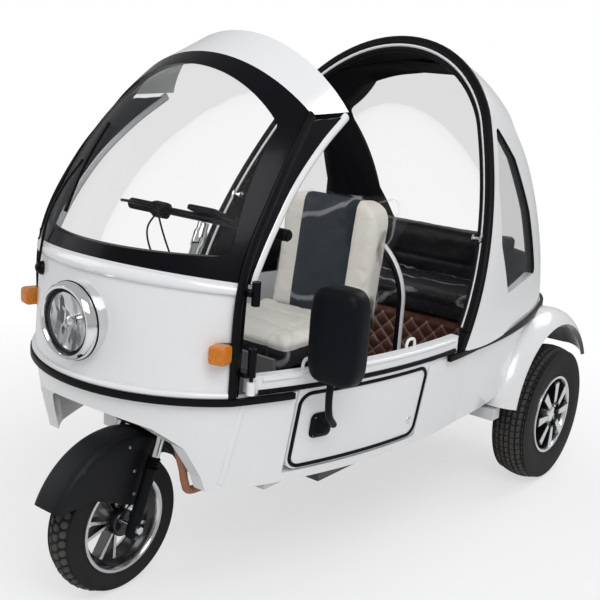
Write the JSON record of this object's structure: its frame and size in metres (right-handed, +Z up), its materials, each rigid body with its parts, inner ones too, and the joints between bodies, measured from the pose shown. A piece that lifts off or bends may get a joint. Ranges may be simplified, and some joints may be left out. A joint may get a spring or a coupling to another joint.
{
  "type": "enclosed electric tricycle",
  "caption": "Small enclosed electric tricycle with a steered front wheel, windscreen nose, open sides with half-doors, rear shell and passenger bench.",
  "frame": {"origin": "on the ground in the middle plane, halfway along the overall length", "axes": "+X forward, +Y to the driver's left, +Z up"},
  "size_m": [2.2614, 1.1827, 1.5443],
  "materials": {
    "white_frame": "gloss",
    "brown_frame": "matte",
    "axle_steel": "satin",
    "motor_case": "satin",
    "battery_case": "matte",
    "floor_plate": "matte",
    "white_shell": "gloss",
    "black_rubber": "matte",
    "black_paint": "satin",
    "clear_glass": "gloss",
    "brown_lining": "satin",
    "black_leather": "satin",
    "cream_leather": "satin",
    "chrome": "polished",
    "lamp_lens": "gloss",
    "amber_lens": "gloss",
    "red_lens": "gloss",
    "black_plastic": "matte",
    "tyre_rubber": "matte",
    "rim_alloy": "gloss"
  },
  "bodies": {
    "chassis": {"chassis_frame": "white_frame", "front_frame": "brown_frame", "rear_axle": "axle_steel", "drive_motor": "motor_case", "leaf_springs": "axle_steel", "battery_box": "battery_case", "floor_pan": "floor_plate", "lower_body": "white_shell", "rear_tub": "white_shell", "fender_left": "white_shell", "fender_right": "white_shell", "belt_trim": "black_rubber", "nose_panel": "white_shell", "windscreen_frame": "black_rubber", "windscreen_glass": "clear_glass", "brow": "white_shell", "door_posts": "black_paint", "rear_shell": "white_shell", "hoop_seal": "black_rubber", "rear_glass": "clear_glass", "quarter_glass": "clear_glass", "bench_base": "brown_lining", "bench_cushion": "black_leather", "bench_back": "black_leather", "driver_seat_base": "brown_lining", "driver_cushion": "cream_leather", "driver_back": "cream_leather", "guard_arch": "white_frame", "headlamp_bezel": "chrome", "headlamp_lens": "lamp_lens", "signal_bases": "black_plastic", "signal_lenses": "amber_lens", "tail_lamps": "red_lens", "plate_bracket": "white_frame"},
    "door_left": {"door_left": "white_shell", "door_mirror": "black_plastic"},
    "door_right": {"door_right": "white_shell"},
    "steering": {"fork": "axle_steel", "handlebar": "black_paint", "grips": "black_rubber", "display": "black_plastic", "front_mudguard": "black_plastic"},
    "front_wheel": {"front_tyre": "tyre_rubber", "front_rim": "rim_alloy"},
    "rear_wheel_left": {"rear_tyre_left": "tyre_rubber", "rear_rim_left": "rim_alloy"},
    "rear_wheel_right": {"rear_tyre_right": "tyre_rubber", "rear_rim_right": "rim_alloy"}
  },
  "joints": [
    {"name": "steering", "type": "hinge", "parent": "chassis", "child": "steering", "pos_m": [0.895, 0, 0.203], "axis": [-0.3633, 0, 0.9317], "range_deg": [-40, 40]},
    {"name": "front_wheel_spin", "type": "hinge", "parent": "steering", "child": "front_wheel", "pos_m": [0.895, 0, 0.203], "axis": [0, 1, 0], "continuous": true},
    {"name": "rear_wheel_left_spin", "type": "hinge", "parent": "chassis", "child": "rear_wheel_left", "pos_m": [-0.729, 0.5, 0.25], "axis": [0, 1, 0], "continuous": true},
    {"name": "rear_wheel_right_spin", "type": "hinge", "parent": "chassis", "child": "rear_wheel_right", "pos_m": [-0.729, -0.5, 0.25], "axis": [0, 1, 0], "continuous": true},
    {"name": "door_left_hinge", "type": "hinge", "parent": "chassis", "child": "door_left", "pos_m": [0.822, 0.402, 0.67], "axis": [0, 0, -1], "range_deg": [0, 65]},
    {"name": "door_right_hinge", "type": "hinge", "parent": "chassis", "child": "door_right", "pos_m": [0.822, -0.402, 0.67], "axis": [0, 0, 1], "range_deg": [0, 65]}
  ]
}
